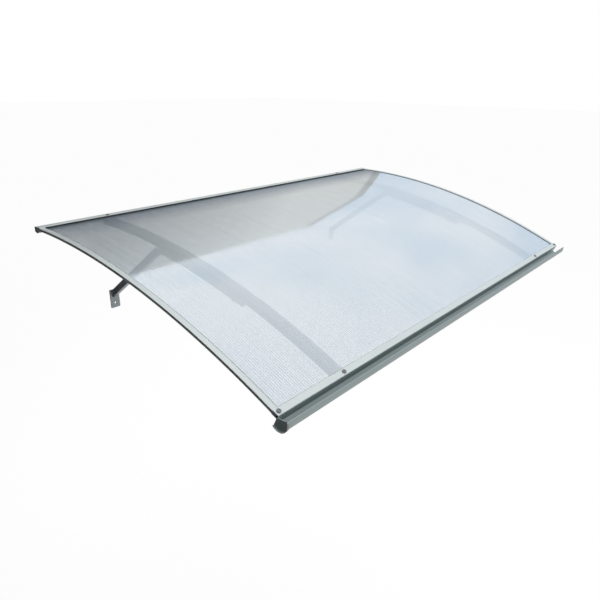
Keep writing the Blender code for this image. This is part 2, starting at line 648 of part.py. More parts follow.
def arm_bolts():
    """Bolt places through the arm's upper leg: (name, placing)."""
    start, end = arm_path()[1:]
    inset = BOLT_INSET / ROOF_RADIUS
    places = []
    for side in (-1, 1):
        for where, angle in (("rear", start + inset), ("front", end - inset)):
            up = turn(angle)
            point = ROOF_CENTRE + up * ROOF_RADIUS
            places.append((side_name("arm_bolt_" + where, side), square_to(point, up, side * RIB_X)))
    return places


def build():
    for leftover in list(bpy.context.scene.objects):
        bpy.data.objects.remove(leftover)
    empty = bpy.data.objects.new("canopy", None)
    bpy.context.scene.collection.objects.link(empty)

    sheet = roof_sheet()
    wall = wall_profile()
    seal = wall_seal()
    strip = front_strip()
    gutter = gutter_profile()
    rear_gasket()
    front_gasket()
    front_seal()
    gutter_end_cap()
    ribs, arms, feet = [], [], []
    for side in (-1, 1):
        wall_profile_cap(side)
        side_arch(side)
        front_corner_cap(side)
        ribs.append(rib(side))
        arms.append(arm(side))
        arm_plug(side)
        feet.append(arm_foot(side))

    holes = SCREW_RADIUS + CLEARANCE
    front_drills, rear_drills = [], []
    for name, placing, seat, tip in roof_screws():
        screw(name, placing, seat, seat + tip + CLEARANCE)
        drills = rear_drills if name.startswith("rear") else front_drills
        drills.append((placing, holes, -tip - CLEARANCE, seat + CLEARANCE))
    front_cutter = cutter("front_drill", front_drills)
    rear_cutter = cutter("rear_drill", rear_drills)
    for piece in (strip, gutter, *ribs):
        boolean(piece, front_cutter)
    for piece in (wall, *ribs):
        boolean(piece, rear_cutter)
    for drills in (front_cutter, rear_cutter):
        boolean(sheet, drills, solver="MANIFOLD")

    bolt_reach = ARM_DEPTH + ARM_CLEARANCE + RIB_WALL + BOLT_TIP
    bolt_drills = []
    for name, placing in arm_bolts():
        bolt(name, placing, -ARM_BOTTOM, bolt_reach)
        bolt_drills.append((placing, BOLT_RADIUS + CLEARANCE, -ARM_BOTTOM - CLEARANCE,
                            -ARM_BOTTOM + bolt_reach))
    bolt_cutter = cutter("bolt_drill", bolt_drills)
    for piece in (*ribs, *arms):
        boolean(piece, bolt_cutter)

    to_wall = Matrix.Rotation(math.radians(90), 4, "X")
    box_middle = (PROFILE_LOW + on_roof(BOX_DEPTH, -LEDGE_BOTTOM).y) / 2
    wall_drills = []
    for x in [side * (END - inset) for inset in WALL_SCREW_INSETS for side in (-1, 1)]:
        placing = Matrix.Translation((x, 0.0, box_middle)) @ to_wall
        wall_drills.append((placing, WALL_SCREW_RADIUS, -CLEARANCE, BACK + BOX_DEPTH + CLEARANCE))
    foot_z = FOOT_TOP - FOOT_HEIGHT + FOOT_HOLE_RISE
    foot_drills = [(Matrix.Translation((side * RIB_X, 0.0, foot_z)) @ to_wall, FOOT_HOLE_RADIUS,
                    -CLEARANCE, FOOT_THICKNESS + CLEARANCE) for side in (-1, 1)]
    wall_cutter = cutter("wall_drill", wall_drills)
    boolean(wall, wall_cutter)
    boolean(seal, wall_cutter)
    foot_cutter = cutter("foot_drill", foot_drills)
    for foot in feet:
        boolean(foot, foot_cutter)


build()
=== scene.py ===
"""Looks of a wall-mounted door canopy: a fluted, translucent roof sheet in an aluminium frame.

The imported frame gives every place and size. The bent pieces are carried again along the roof's arc,
the straight ones are dressed copies of their nodes, and the screws and bolts are set on their axes.
"""
import math

import bmesh
import bpy
import numpy as np
from bpy.props import FloatProperty, FloatVectorProperty, IntProperty, PointerProperty
from mathutils import Matrix, Vector


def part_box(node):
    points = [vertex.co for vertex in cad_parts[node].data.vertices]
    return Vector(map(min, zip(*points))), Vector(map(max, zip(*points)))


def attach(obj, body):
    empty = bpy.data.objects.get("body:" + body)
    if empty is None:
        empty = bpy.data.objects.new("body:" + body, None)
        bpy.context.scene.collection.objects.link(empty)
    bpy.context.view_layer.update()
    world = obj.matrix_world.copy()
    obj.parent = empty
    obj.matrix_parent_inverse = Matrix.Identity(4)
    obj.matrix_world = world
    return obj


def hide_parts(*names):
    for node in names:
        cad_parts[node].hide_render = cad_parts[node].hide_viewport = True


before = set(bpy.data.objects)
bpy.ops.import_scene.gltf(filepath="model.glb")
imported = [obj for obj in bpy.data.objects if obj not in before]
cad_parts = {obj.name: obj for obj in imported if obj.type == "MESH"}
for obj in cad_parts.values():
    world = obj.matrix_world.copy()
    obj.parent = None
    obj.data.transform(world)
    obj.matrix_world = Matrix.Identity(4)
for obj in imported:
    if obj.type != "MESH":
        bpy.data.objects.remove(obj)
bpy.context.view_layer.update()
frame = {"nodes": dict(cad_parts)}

bl_info = {
    "name": "Door canopy looks",
    "version": (1, 0, 0),
    "blender": (4, 5, 0),
    "location": "3D View > Sidebar > Canopy",
    "description": "Dresses the packed door canopy and sets its stage",
    "category": "Object",
}

BODY = "root"
SIDES = ("left", "right")
MERGE = 0.00001             # corners of loose triangles that are one corner
SHARP = math.radians(50)    # edges above this angle stay sharp
FLAT = math.radians(0.3)    # triangles within this angle are one face
END_SHARE = 0.01            # share of a bent node's arc that holds its rear end face
LIP_GAP = 0.00005           # between the wall profile's lip and the rear gasket's upstand
LIP_STEP = 0.0002           # the upstand's top below the lip's
FASTENER_SEGMENTS = 24
SUNK = 0.00005              # how far a fastener's head stays below its CAD node's
DOME = math.radians(72)     # a screw's domed head, from its rim to its socket
DOME_EDGE = 0.35            # of the head's radius and height, outside the dome
DOME_STEPS = 8
SOCKET_POINT = 1.3          # depth of a socket's drilled point, in depths of its flats
WHITE = (1.0, 1.0, 1.0, 1.0)


def node_points(node):
    """Every corner of a CAD node."""
    return np.array([v.co for v in frame["nodes"][node].data.vertices])


def arc_of(node):
    """Centre, in the (y, z) plane, of the arc that a thin bent node follows."""
    points = node_points(node)[:, 1:]
    terms = np.column_stack([2 * points, np.ones(len(points))])
    centre_y, centre_z = np.linalg.lstsq(terms, (points ** 2).sum(1), rcond=None)[0][:2]
    return Vector((centre_y, centre_z))


ROOF_CENTRE = arc_of("side_gasket_left")


def polar(point):
    """(x, distance from the roof arc's centre, angle about it) of a point."""
    offset = Vector(point[1:]) - ROOF_CENTRE
    return point[0], offset.length, math.atan2(offset.y, offset.x)


def polar_box(node):
    """Lowest and highest x, distance and angle of a bent node."""
    places = np.array([polar(point) for point in node_points(node)])
    return places.min(0), places.max(0)


def colour_property(name, description, default):
    return FloatVectorProperty(name=name, description=description, default=default, subtype="COLOR",
                               size=3, min=0.0, max=1.0)


def length_property(name, description, default):
    return FloatProperty(name=name, description=description, default=default, unit="LENGTH", min=0.0,
                         precision=5)


class CanopySizes(bpy.types.PropertyGroup):
    flute_pitch: length_property("Flute pitch", "Web to web in the roof sheet", 0.006)
    flute_skin: length_property("Skin", "Thickness of the roof sheet's two skins", 0.0005)
    flute_web: length_property("Web", "Thickness of the webs between the skins", 0.0004)
    bend_steps: IntProperty(name="Bend steps", description="Faces along the roof's arc", default=56,
                            min=8, subtype="UNSIGNED")
    edge_radius: length_property("Edge radius", "Rounding of cut and extruded edges", 0.0002)
    screw_radius: length_property("Screw radius", "Shank of the roof screws", 0.0020)
    screw_head: length_property("Screw head", "Height of the screws' domed heads", 0.0023)
    socket_width: length_property("Socket width", "Across the flats of the screws' sockets", 0.0030)
    socket_depth: length_property("Socket depth", "Depth of the screws' sockets", 0.0015)
    bolt_radius: length_property("Bolt radius", "Shank of the arm bolts", 0.0030)
    bolt_head: length_property("Bolt head", "Height of the bolts' hexagon heads", 0.0040)
    bolt_chamfer: length_property("Bolt chamfer", "Bevel on the bolt heads' corners", 0.0005)
    thread_pitch: length_property("Thread pitch", "Rise of the threads in one turn", 0.0008)
    thread_depth: length_property("Thread depth", "Depth of the threads", 0.0003)


class CanopyColours(bpy.types.PropertyGroup):
    frame: colour_property("Frame", "Anodised arches, wall profile and strip", (0.70, 0.76, 0.76))
    # The gutter colour is partly the anodising's green-grey tint and partly painted shade: it is set
    # darker for the faces turned away from the lamp.
    gutter: colour_property("Gutter", "Anodised gutter", (0.38, 0.44, 0.44))
    # Painted shade: the rib colour is darker than the frame aluminium the ribs are made of, standing in
    # for their shade under the roof sheet.
    rib: colour_property("Ribs", "Ribs under the roof sheet", (0.32, 0.37, 0.40))
    arm: colour_property("Arms", "Arms and foot plates", (0.42, 0.46, 0.47))
    # Painted shade: the steel colour is set dark for the shadow round the screw and bolt heads; zinc on
    # steel is lighter than this.
    steel: colour_property("Steel", "Screws and bolts", (0.26, 0.27, 0.28))
    rubber: colour_property("Rubber", "Seals and gaskets", (0.018, 0.019, 0.022))
    cap: colour_property("Caps", "Moulded grey end caps", (0.62, 0.71, 0.71))
    plug: colour_property("Plugs", "Black arm plugs", (0.02, 0.02, 0.022))
    pad: colour_property("Pads", "Bearing pads on the ribs", (0.94, 0.95, 0.95))
    sheet: colour_property("Roof sheet", "Body of the polycarbonate", (0.71, 0.86, 0.99))


class CanopyStage(bpy.types.PropertyGroup):
    floor_drop: length_property("Floor drop", "Floor below the canopy's origin", 2.2)
    lamp_power: FloatProperty(name="Lamp power", description="Power of the overhead lamp", default=60.0,
                              min=0.0, unit="POWER")
    ambient: FloatProperty(name="Ambient", description="Light from all round on matt surfaces",
                           default=0.40, min=0.0, max=1.0, subtype="FACTOR")


class Value:
    """A socket's output in a node tree, so that sums on values read as Python."""

    def __init__(self, tree, socket):
        self.tree = tree
        self.socket = socket

    def math(self, operation, *others):
        return self.tree.math(operation, self, *others)

    def other(self, output):
        """Another output of the same node."""
        return Value(self.tree, self.socket.node.outputs[output])

    def span(self, low, high):
        """Carries 0 to 1 over to low to high."""
        return self * (high - low) + low

    def ramp(self, start, end, low=0.0, high=1.0):
        """Carries start to end over to low to high, level outside them."""
        return self.tree.node("ShaderNodeMapRange", None, {0: self, 1: start, 2: end, 3: low, 4: high})

    def __add__(self, other):
        return self.math("ADD", other)

    def __mul__(self, other):
        return self.math("MULTIPLY", other)

    def __sub__(self, other):
        return self.math("SUBTRACT", other)

    def __rsub__(self, other):
        return self.tree.math("SUBTRACT", other, self)

    def __truediv__(self, other):
        return self.math("DIVIDE", other)

    def __rtruediv__(self, other):
        return self.tree.math("DIVIDE", other, self)

    def __pow__(self, other):
        return self.math("POWER", other)

    __radd__ = __add__
    __rmul__ = __mul__


class Tree:
    """A node tree with one method for any node."""

    def __init__(self, tree):
        self.tree = tree

    def node(self, kind, settings=None, sockets=None, output=0):
        """New node, its settings made before its sockets; gives one of its outputs."""
        node = self.tree.nodes.new(kind)
        for name, value in (settings or {}).items():
            setattr(node, name, value)
        self.fill(node, sockets or {})
        return Value(self, node.outputs[output]) if node.outputs else node

    def fill(self, node, sockets):
        """Links or sets a node's sockets, given by name or place."""
        for key, value in sockets.items():
            if isinstance(value, Value):
                self.tree.links.new(value.socket, node.inputs[key])
            else:
                node.inputs[key].default_value = value

    def math(self, operation, *values):
        return self.node("ShaderNodeMath", {"operation": operation}, dict(enumerate(values)))

    def join(self, *parts):
        """Geometry of several parts together."""
        joined = self.node("GeometryNodeJoinGeometry")
        for part in parts:
            self.tree.links.new(part.socket, joined.socket.node.inputs[0])
        return joined

    def mix(self, factor, first, second):
        """Colour between two colours."""
        return self.node("ShaderNodeMix", {"data_type": "RGBA"}, {0: factor, 6: first, 7: second}, 2)

    def noise(self, *lumps, detail=2.0, place=None, scale=1.0):
        """Soft random value, so many lumps to the metre each way, by default on Object coordinates."""
        place = place or self.node("ShaderNodeTexCoord", output="Object")
        lumps = lumps if len(lumps) == 3 else lumps * 3
        stretched = self.node("ShaderNodeMapping", None, {"Vector": place, "Scale": lumps})
        sockets = {"Vector": stretched, "Scale": scale, "Detail": detail}
        return self.node("ShaderNodeTexNoise", None, sockets)

    def bump(self, height, distance):
        """Normal for a relief as deep as a distance."""
        sockets = {"Strength": 1.0, "Distance": distance, "Height": height}
        return self.node("ShaderNodeBump", None, sockets)


def opaque(colour, brightness=1.0):
    """Colour with alpha, made brighter or darker and held at 1."""
    return (*(min(channel * brightness, 1.0) for channel in colour), 1.0)


def surface(name):
    """New material's tree, with its output left to fill."""
    material = bpy.data.materials.new(name)
    material.use_nodes = True
    material.node_tree.nodes.clear()
    return material, Tree(material.node_tree)


def plain_finish(name, sockets_of):
    """Material of one Principled shader whose sockets a function of the tree gives."""
    material, tree = surface(name)
    shader = tree.node("ShaderNodeBsdfPrincipled", None, sockets_of(tree))
    tree.node("ShaderNodeOutputMaterial", None, {"Surface": shader})
    return material


def anodised(name, colour, run, metallic=0.35, roughness=0.40):
    """Anodised extrusion: fine die lines along its run, and a faint cloudiness."""
    across, along = 1400.0, 9.0
    share = 0.65                # of the die lines in the tone

    def sockets(tree):
        lines = tree.noise(*(along if axis == run else across for axis in "xyz"), detail=3.0)
        cloud = tree.noise(14.0)
        tone = share * lines + (1 - share) * cloud
        return {"Base Color": tree.mix(tone, opaque(colour, 0.90), opaque(colour, 1.10)),
                "Metallic": metallic,
                "Roughness": lines.span(-0.08, 0.08) + cloud.span(-0.06, 0.06) + roughness,
                "Normal": tree.bump(lines, 0.00004)}
    return plain_finish(name, sockets)


def zinc(name, colour):
    """Bright zinc on steel, with a fine mottle."""
    def sockets(tree):
        mottle = tree.noise(900.0, detail=4.0)
        return {"Base Color": tree.mix(mottle, opaque(colour, 0.85), opaque(colour, 1.15)),
                "Metallic": 1.0,
                "Roughness": mottle.span(0.20, 0.38),
                "Normal": tree.bump(mottle, 0.00002)}
    return plain_finish(name, sockets)


def rubber(name, colour):
    """Matt rubber with a dusty bloom."""
    def sockets(tree):
        bloom = tree.noise(60.0, detail=4.0)
        grain = tree.noise(1800.0)
        return {"Base Color": tree.mix(bloom, opaque(colour), opaque(colour, 1.5)),
                "Roughness": bloom.span(0.68, 0.83),
                "Normal": tree.bump(grain, 0.00005)}
    return plain_finish(name, sockets)


def moulded(name, colour, roughness=0.5):
    """Moulded plastic with a fine spark-eroded grain."""
    def sockets(tree):
        grain = tree.noise(1500.0)
        cloud = tree.noise(40.0, detail=3.0)
        return {"Base Color": tree.mix(cloud, opaque(colour, 0.88), opaque(colour, 1.12)),
                "Roughness": grain.span(-0.05, 0.05) + roughness,
                "Normal": tree.bump(grain, 0.00006)}
    return plain_finish(name, sockets)


def foam(name, colour):
    """Closed-cell foam tape."""
    def sockets(tree):
        cells = tree.noise(1100.0, detail=4.0)
        return {"Base Color": tree.mix(cells, opaque(colour, 0.86), opaque(colour, 1.06)),
                "Roughness": cells.span(0.65, 0.85),
                "Normal": tree.bump(cells, 0.00020)}
    return plain_finish(name, sockets)


def sheet_body(tree, colour, alpha=0.24):
    """Milky polycarbonate that lets most light through, streaked along its flutes."""
    streaks = tree.noise(170.0, 1.5, 1.5, detail=3.0)
    cloud = tree.noise(2.2, 2.6, 2.6)
    tone = 0.5 * streaks + 0.5 * cloud
    sockets = {"Base Color": tree.mix(tone, opaque(colour, 0.94), opaque(colour, 1.06)),
               "Roughness": streaks.span(0.22, 0.32),
               "Alpha": streaks.span(-0.05, 0.05) + alpha,
               "Normal": tree.bump(streaks, 0.00020)}
    return tree.node("ShaderNodeBsdfPrincipled", None, sockets)


def sheet_inside(name, colour):
    """Inner faces of the flutes."""
    material, tree = surface(name)
    tree.node("ShaderNodeOutputMaterial", None, {"Surface": sheet_body(tree, colour)})
    return material


def sheet_outside(name, colour):
    """Outer faces, which also mirror the sky as the sheet's four surfaces do together."""
    head_on, glancing, falloff = 0.10, 0.75, 1.2
    material, tree = surface(name)
    facing = tree.node("ShaderNodeLayerWeight", None, {"Blend": 0.5}, "Facing")
    inside = tree.node("ShaderNodeNewGeometry", output="Backfacing")
    mirrored = (head_on + glancing * facing ** falloff) * (1.0 - inside)
    ripple = tree.noise(170.0, 1.5, 1.5)
    gloss = tree.node("ShaderNodeBsdfGlossy", None,
                      {"Color": (0.96, 0.98, 1.0, 1.0), "Roughness": 0.07,
                       "Normal": tree.bump(ripple, 0.00008)})
    both = tree.node("ShaderNodeMixShader", None,
                     {0: mirrored, 1: sheet_body(tree, colour), 2: gloss})
    tree.node("ShaderNodeOutputMaterial", None, {"Surface": both})
    return material


def keep(piece, slot, *nodes):
    """Rides a finished piece on the canopy and has it stand for its CAD nodes."""
    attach(piece, BODY)
    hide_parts(*nodes)


def placed(name, mesh, material=None):
    """New object; a mesh grown by a geometry tree brings its own materials."""
    if material:
        mesh.materials.append(material)
    piece = bpy.data.objects.new(name, mesh)
    bpy.context.scene.collection.objects.link(piece)
    return piece


def merged(node):
    """A CAD node's loose triangles as one connected bmesh of flat faces."""
    bm = bmesh.new()
    bm.from_mesh(frame["nodes"][node].data)
    bmesh.ops.remove_doubles(bm, verts=bm.verts, dist=MERGE)
    bmesh.ops.dissolve_limit(bm, angle_limit=FLAT, verts=bm.verts, edges=bm.edges)
    return bm


def as_mesh(name, bm):
    """Mesh of a bmesh, which is freed."""
    mesh = bpy.data.meshes.new(name)
    bm.to_mesh(mesh)
    bm.free()
    return mesh


def softened(mesh):
    """The same mesh, shaded smooth but for its sharp edges."""
    mesh.shade_smooth()
    mesh.set_sharp_from_angle(angle=SHARP)
    return mesh


def add_upstand(bm, y, left, right, top):
    """Draws a flat strip up to a height, in front of a wall at y and between two ends at x."""
    for place, across in ((y, (0, 1, 0)), (left, (1, 0, 0)), (right, (1, 0, 0))):
        bmesh.ops.bisect_plane(bm, geom=[*bm.verts, *bm.edges, *bm.faces], dist=MERGE / 10,
                               plane_co=Vector(across) * place, plane_no=across)

    def raised(face):
        middle = face.calc_center_median()
        return face.normal.z > math.cos(SHARP) and middle.y < y and left < middle.x < right

    flat = [face for face in bm.faces if raised(face)]
    if not flat:
        raise RuntimeError("no flat strip to draw up")
    for part in bmesh.ops.extrude_face_region(bm, geom=flat)["geom"]:
        if isinstance(part, bmesh.types.BMVert):
            part.co.z = top
    bmesh.ops.delete(bm, geom=flat, context="FACES_ONLY")


def raise_gasket(bm):
    """Has the rear gasket stand up in front of the wall profile's lip, between the arches."""
    lip_low, lip_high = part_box("wall_profile")
    left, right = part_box("side_gasket_left")[1].x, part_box("side_gasket_right")[0].x
    add_upstand(bm, lip_low.y - LIP_GAP, left, right, lip_high.z - LIP_STEP)


def dress(node, material, slot, edge_radius, change=None):
    """Copy of a straight CAD node with soft edges, standing for the node."""
    bm = merged(node)
    if change:
        change(bm)
    name = node + "_finished"
    piece = placed(name, softened(as_mesh(name, bm)), material)
    bevel = piece.modifiers.new("soft edges", "BEVEL")
    bevel.width = edge_radius
    bevel.segments = 2
    bevel.limit_method = "ANGLE"
    bevel.angle_limit = SHARP
    bevel.harden_normals = True
    keep(piece, slot, node)


def group_tree(name, inputs):
    """Geometry node group with named inputs; gives its tree and its input node's sockets by name."""
    group = bpy.data.node_groups.new(name, "GeometryNodeTree")
    group.interface.new_socket("Geometry", in_out="INPUT", socket_type="NodeSocketGeometry")
    for label, kind in inputs.items():
        group.interface.new_socket(label, in_out="INPUT", socket_type="NodeSocket" + kind)
    group.interface.new_socket("Geometry", in_out="OUTPUT", socket_type="NodeSocketGeometry")
    tree = Tree(group)
    start = group.nodes.new("NodeGroupInput")
    return tree, {socket.name: Value(tree, socket) for socket in start.outputs if socket.name}


def end_tree(tree, geometry, material, inside=None, inner_material=None):
    """Last nodes of a geometry tree: real geometry, its finish, and sharp edges where faces turn."""
    turn = tree.node("GeometryNodeInputMeshEdgeAngle")
    real = tree.node("GeometryNodeRealizeInstances", None, {"Geometry": geometry})
    smooth = tree.node("GeometryNodeSetShadeSmooth", {"domain": "FACE"},
                       {"Geometry": real, "Shade Smooth": True})
    sharp = tree.node("GeometryNodeSetShadeSmooth", {"domain": "EDGE"},
                      {"Geometry": smooth, "Selection": turn.math("GREATER_THAN", SHARP),
                       "Shade Smooth": False})
    finished = tree.node("GeometryNodeSetMaterial", None, {"Geometry": sharp, "Material": material})
    if inside:
        finished = tree.node("GeometryNodeSetMaterial", None,
                             {"Geometry": finished, "Selection": inside, "Material": inner_material})
    tree.node("NodeGroupOutput", None, {"Geometry": finished})


BEND_INPUTS = {"Centre Y": "Float", "Centre Z": "Float", "Start Angle": "Float", "End Angle": "Float",
               "Steps": "Int", "Material": "Material"}


def bend_nodes(tree, section, given):
    """Carries a flat section, x across and y from the arc's centre, along the arc, with closed ends."""
    entry = tree.tree.nodes.new("GeometryNodeRepeatInput")
    leave = tree.tree.nodes.new("GeometryNodeRepeatOutput")
    entry.pair_with_output(leave)
    leave.repeat_items.new("BOOLEAN", "Top")
    tree.fill(entry, {"Iterations": given["Steps"], "Geometry": section, "Top": True})
    step = tree.node("ShaderNodeCombineXYZ", None, {"Z": 1.0 / given["Steps"]})
    drawn = tree.node("GeometryNodeExtrudeMesh", {"mode": "FACES"},
                      {"Mesh": Value(tree, entry.outputs["Geometry"]),
                       "Selection": Value(tree, entry.outputs["Top"]),
                       "Offset": step, "Offset Scale": 1.0, "Individual": False})
    tree.fill(leave, {"Geometry": drawn, "Top": drawn.other("Top")})
    start_face = tree.node("GeometryNodeFlipFaces", None, {"Mesh": section})
    joined = tree.join(Value(tree, leave.outputs["Geometry"]), start_face)
    closed = tree.node("GeometryNodeMergeByDistance", None, {"Geometry": joined, "Distance": MERGE})
    place = tree.node("ShaderNodeSeparateXYZ", None, {0: tree.node("GeometryNodeInputPosition")})
    radius, share = place.other("Y"), place.other("Z")
    angle = given["Start Angle"] + (given["End Angle"] - given["Start Angle"]) * share
    bent = tree.node("ShaderNodeCombineXYZ", None,
                     {"X": place.other("X"),
                      "Y": given["Centre Y"] + radius * angle.math("COSINE"),
                      "Z": given["Centre Z"] + radius * angle.math("SINE")})
    return tree.node("GeometryNodeSetPosition", None, {"Geometry": closed, "Position": bent})


def bend_tree():
    """A flat section carried along the roof's arc."""
    tree, given = group_tree("Bent along the roof", BEND_INPUTS)
    end_tree(tree, bend_nodes(tree, given["Geometry"], given), given["Material"])
    return tree.tree


def fluted_tree():
    """Twin-wall section with a row of flutes, bent along the roof."""
    inputs = {"Left": "Float", "Width": "Float", "Inner Radius": "Float", "Thickness": "Float",
              "Skin": "Float", "Web": "Float", "Pitch": "Float", "Inside": "Material", **BEND_INPUTS}
    tree, given = group_tree("Fluted sheet", inputs)
    middle = given["Inner Radius"] + given["Thickness"] * 0.5
    outer = tree.node("GeometryNodeCurvePrimitiveQuadrilateral", {"mode": "RECTANGLE"},
                      {"Width": given["Width"], "Height": given["Thickness"]})
    centre = tree.node("ShaderNodeCombineXYZ", None,
                       {"X": given["Left"] + given["Width"] * 0.5, "Y": middle})
    edge = tree.node("GeometryNodeSetPosition", None, {"Geometry": outer, "Offset": centre})
    free = given["Width"] - given["Web"]
    count = (free / given["Pitch"]).math("ROUND")
    pitch = free / count
    first = tree.node("ShaderNodeCombineXYZ", None,
                      {"X": given["Left"] + given["Web"] * 0.5 + pitch * 0.5, "Y": middle})
    row = tree.node("GeometryNodeMeshLine", None,
                    {"Count": count, "Start Location": first,
                     "Offset": tree.node("ShaderNodeCombineXYZ", None, {"X": pitch})})
    flute = tree.node("GeometryNodeCurvePrimitiveQuadrilateral", {"mode": "RECTANGLE"},
                      {"Width": pitch - given["Web"],
                       "Height": given["Thickness"] - given["Skin"] * 2.0})
    flutes = tree.node("GeometryNodeRealizeInstances", None,
                       {"Geometry": tree.node("GeometryNodeInstanceOnPoints", None,
                                              {"Points": row, "Instance": flute})})
    section = tree.node("GeometryNodeFillCurve", {"mode": "TRIANGLES"},
                        {"Curve": tree.join(flutes, edge)})
    bent = bend_nodes(tree, section, given)
    place = tree.node("ShaderNodeSeparateXYZ", None, {0: tree.node("GeometryNodeInputPosition")})
    rise, run = place.other("Z") - given["Centre Z"], place.other("Y") - given["Centre Y"]
    depth = (rise * rise + run * run).math("SQRT") - middle
    sideways = place.other("X") - given["Left"] - given["Width"] * 0.5
    within = depth.math("ABSOLUTE").math("LESS_THAN", (given["Thickness"] - given["Skin"]) * 0.5)
    inside = sideways.math("ABSOLUTE").math("LESS_THAN", (given["Width"] - given["Web"]) * 0.5) * within
    end_tree(tree, bent, given["Material"], inside, given["Inside"])
    return tree.tree


def grown(name, mesh, tree, values):
    """Mesh that a geometry tree makes of an object, with the tree's inputs set by name."""
    holder = bpy.data.objects.new(name, mesh)
    bpy.context.scene.collection.objects.link(holder)
    modifier = holder.modifiers.new(name, "NODES")
    modifier.node_group = tree
    sockets = {item.name: item.identifier for item in tree.interface.items_tree
               if item.item_type == "SOCKET" and item.in_out == "INPUT"}
    for label, value in values.items():
        modifier[sockets[label]] = value
    holder.update_tag()
    depsgraph = bpy.context.evaluated_depsgraph_get()
    depsgraph.update()
    result = bpy.data.meshes.new_from_object(holder.evaluated_get(depsgraph))
    holder.modifiers.remove(modifier)
    bpy.data.objects.remove(holder)
    if not result.polygons:
        raise RuntimeError(name + " came out empty")
    result.name = name
    return result


def bend_values(node, material, steps):
    """Inputs of the bending nodes for the arc that a bent node spans."""
    low, high = polar_box(node)
    return {"Centre Y": ROOF_CENTRE.x, "Centre Z": ROOF_CENTRE.y, "Start Angle": float(low[2]),
            "End Angle": float(high[2]), "Steps": steps, "Material": material}


def end_section(node):
    """Flat mesh of a bent node's rear end face: x across, y its distance from the arc's centre."""
    bm = merged(node)
    low, high = polar_box(node)
    near = low[2] + (high[2] - low[2]) * END_SHARE
    others = [face for face in bm.faces if max(polar(v.co)[2] for v in face.verts) > near]
    bmesh.ops.delete(bm, geom=others, context="FACES")
    for vertex in bm.verts:
        x, radius, _ = polar(vertex.co)
        vertex.co = (x, radius, 0.0)
    bm.normal_update()
    bmesh.ops.reverse_faces(bm, faces=[face for face in bm.faces if face.normal.z < 0])
    return as_mesh(node + "_section", bm)


def rebend(node, tree, material, slot, steps):
    """A bent node carried again along the true arc, standing for the node."""
    mesh = grown(node + "_bent", end_section(node), tree, bend_values(node, material, steps))
    keep(placed(node + "_bent", mesh), slot, node)


def lathe(name, rings):
    """Closed mesh about local Z through rings, each a function from an angle to (radius, height)."""
    bm = bmesh.new()
    loops = []
    for ring in rings:
        angles = [math.tau * k / FASTENER_SEGMENTS for k in range(FASTENER_SEGMENTS)]
        places = [(angle, *ring(angle)) for angle in angles]
        loops.append([bm.verts.new((radius * math.cos(angle), radius * math.sin(angle), height))
                      for angle, radius, height in places])
    for low, high in zip(loops, loops[1:]):
        for k in range(FASTENER_SEGMENTS):
            bm.faces.new((low[k - 1], low[k], high[k], high[k - 1]))
    bm.faces.new(loops[0])
    bm.faces.new(loops[-1])
    bmesh.ops.recalc_face_normals(bm, faces=bm.faces)
    return as_mesh(name, bm)


def circle(radius, height):
    """Round ring."""
    return lambda angle: (radius, height)


def hexagon(half_flats, height):
    """Ring of a hexagon, given by half its width across flats."""
    def ring(angle):
        from_flat = (angle + math.pi / 6) % (math.pi / 3) - math.pi / 6
        return half_flats / math.cos(from_flat), height
    return ring


def thread(radius, low, high, sizes):
    """Rings of a helical thread with V flanks, four to a turn."""
    def turn(height):
        def ring(angle):
            phase = (height / sizes.thread_pitch - angle / math.tau) % 1.0
            return radius - sizes.thread_depth * (1 - abs(2 * phase - 1)), height
        return ring
    return [turn(height) for height in np.arange(low, high, sizes.thread_pitch / 4)]


def shank(radius, length, head, sizes):
    """Rings from a fastener's pointed end, as long as its radius, up to the underside of its head."""
    rings = [circle(radius / 3, -length)]
    rings += thread(radius, radius - length, -head - sizes.thread_pitch, sizes)
    return rings + [circle(radius - sizes.thread_depth, -head)]


def screw_mesh(length, head_radius, sizes):
    """Domed screw with a hexagon socket, its head's top at the origin."""
    def dome(wave):
        return DOME_EDGE + (1 - DOME_EDGE) * wave

    head = sizes.screw_head
    rings = shank(sizes.screw_radius, length, head, sizes) + [circle(head_radius, -head)]
    for angle in (DOME * k / DOME_STEPS for k in range(DOME_STEPS + 1)):
        rise = dome(math.sin(angle)) / dome(math.sin(DOME))
        rings.append(circle(head_radius * dome(math.cos(angle)), head * (rise - 1)))
    socket = sizes.socket_width / 2
    rings += [hexagon(socket, 0.0), hexagon(socket, -sizes.socket_depth),
              circle(socket / 3, -sizes.socket_depth * SOCKET_POINT)]
    return lathe("screw", rings)


def bolt_mesh(length, head_radius, sizes):
    """Hexagon bolt, the outer face of its head at the origin."""
    half_flats = head_radius * math.cos(math.pi / 6)
    head, chamfer = sizes.bolt_head, sizes.bolt_chamfer
    rings = shank(sizes.bolt_radius, length, head, sizes)
    rings += [hexagon(half_flats, -head), hexagon(half_flats, -chamfer),
              circle(half_flats - chamfer / 2, 0.0), circle(half_flats / 3, 0.0)]
    return lathe("bolt", rings)


def fastener_axis(node, outward):
    """(head's outer end, outward direction, length, head radius) of a fastener square to the roof."""
    low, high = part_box(node)
    middle = (low + high) / 2
    axis = Vector((0.0, *(Vector(middle.yz) - ROOF_CENTRE).normalized())) * outward
    offsets = [Vector(point) - middle for point in node_points(node)]
    reach = [offset.dot(axis) for offset in offsets]
    width = max((offset - axis * offset.dot(axis)).length for offset in offsets)
    return middle + axis * (max(reach) - SUNK), axis, max(reach) - min(reach) - SUNK, width


def fastener_tree():
    """Sets one fastener on every point, along the point's own axis."""
    tree, given = group_tree("Fasteners", {"Fastener": "Object", "Material": "Material"})
    pattern = tree.node("GeometryNodeObjectInfo", {"transform_space": "ORIGINAL"},
                        {"Object": given["Fastener"]}, "Geometry")
    axis = tree.node("GeometryNodeInputNamedAttribute", {"data_type": "FLOAT_VECTOR"}, {"Name": "axis"})
    turned = tree.node("FunctionNodeAlignRotationToVector", {"axis": "Z"}, {"Vector": axis})
    copies = tree.node("GeometryNodeInstanceOnPoints", None,
                       {"Points": given["Geometry"], "Instance": pattern, "Rotation": turned})
    end_tree(tree, copies, given["Material"])
    return tree.tree


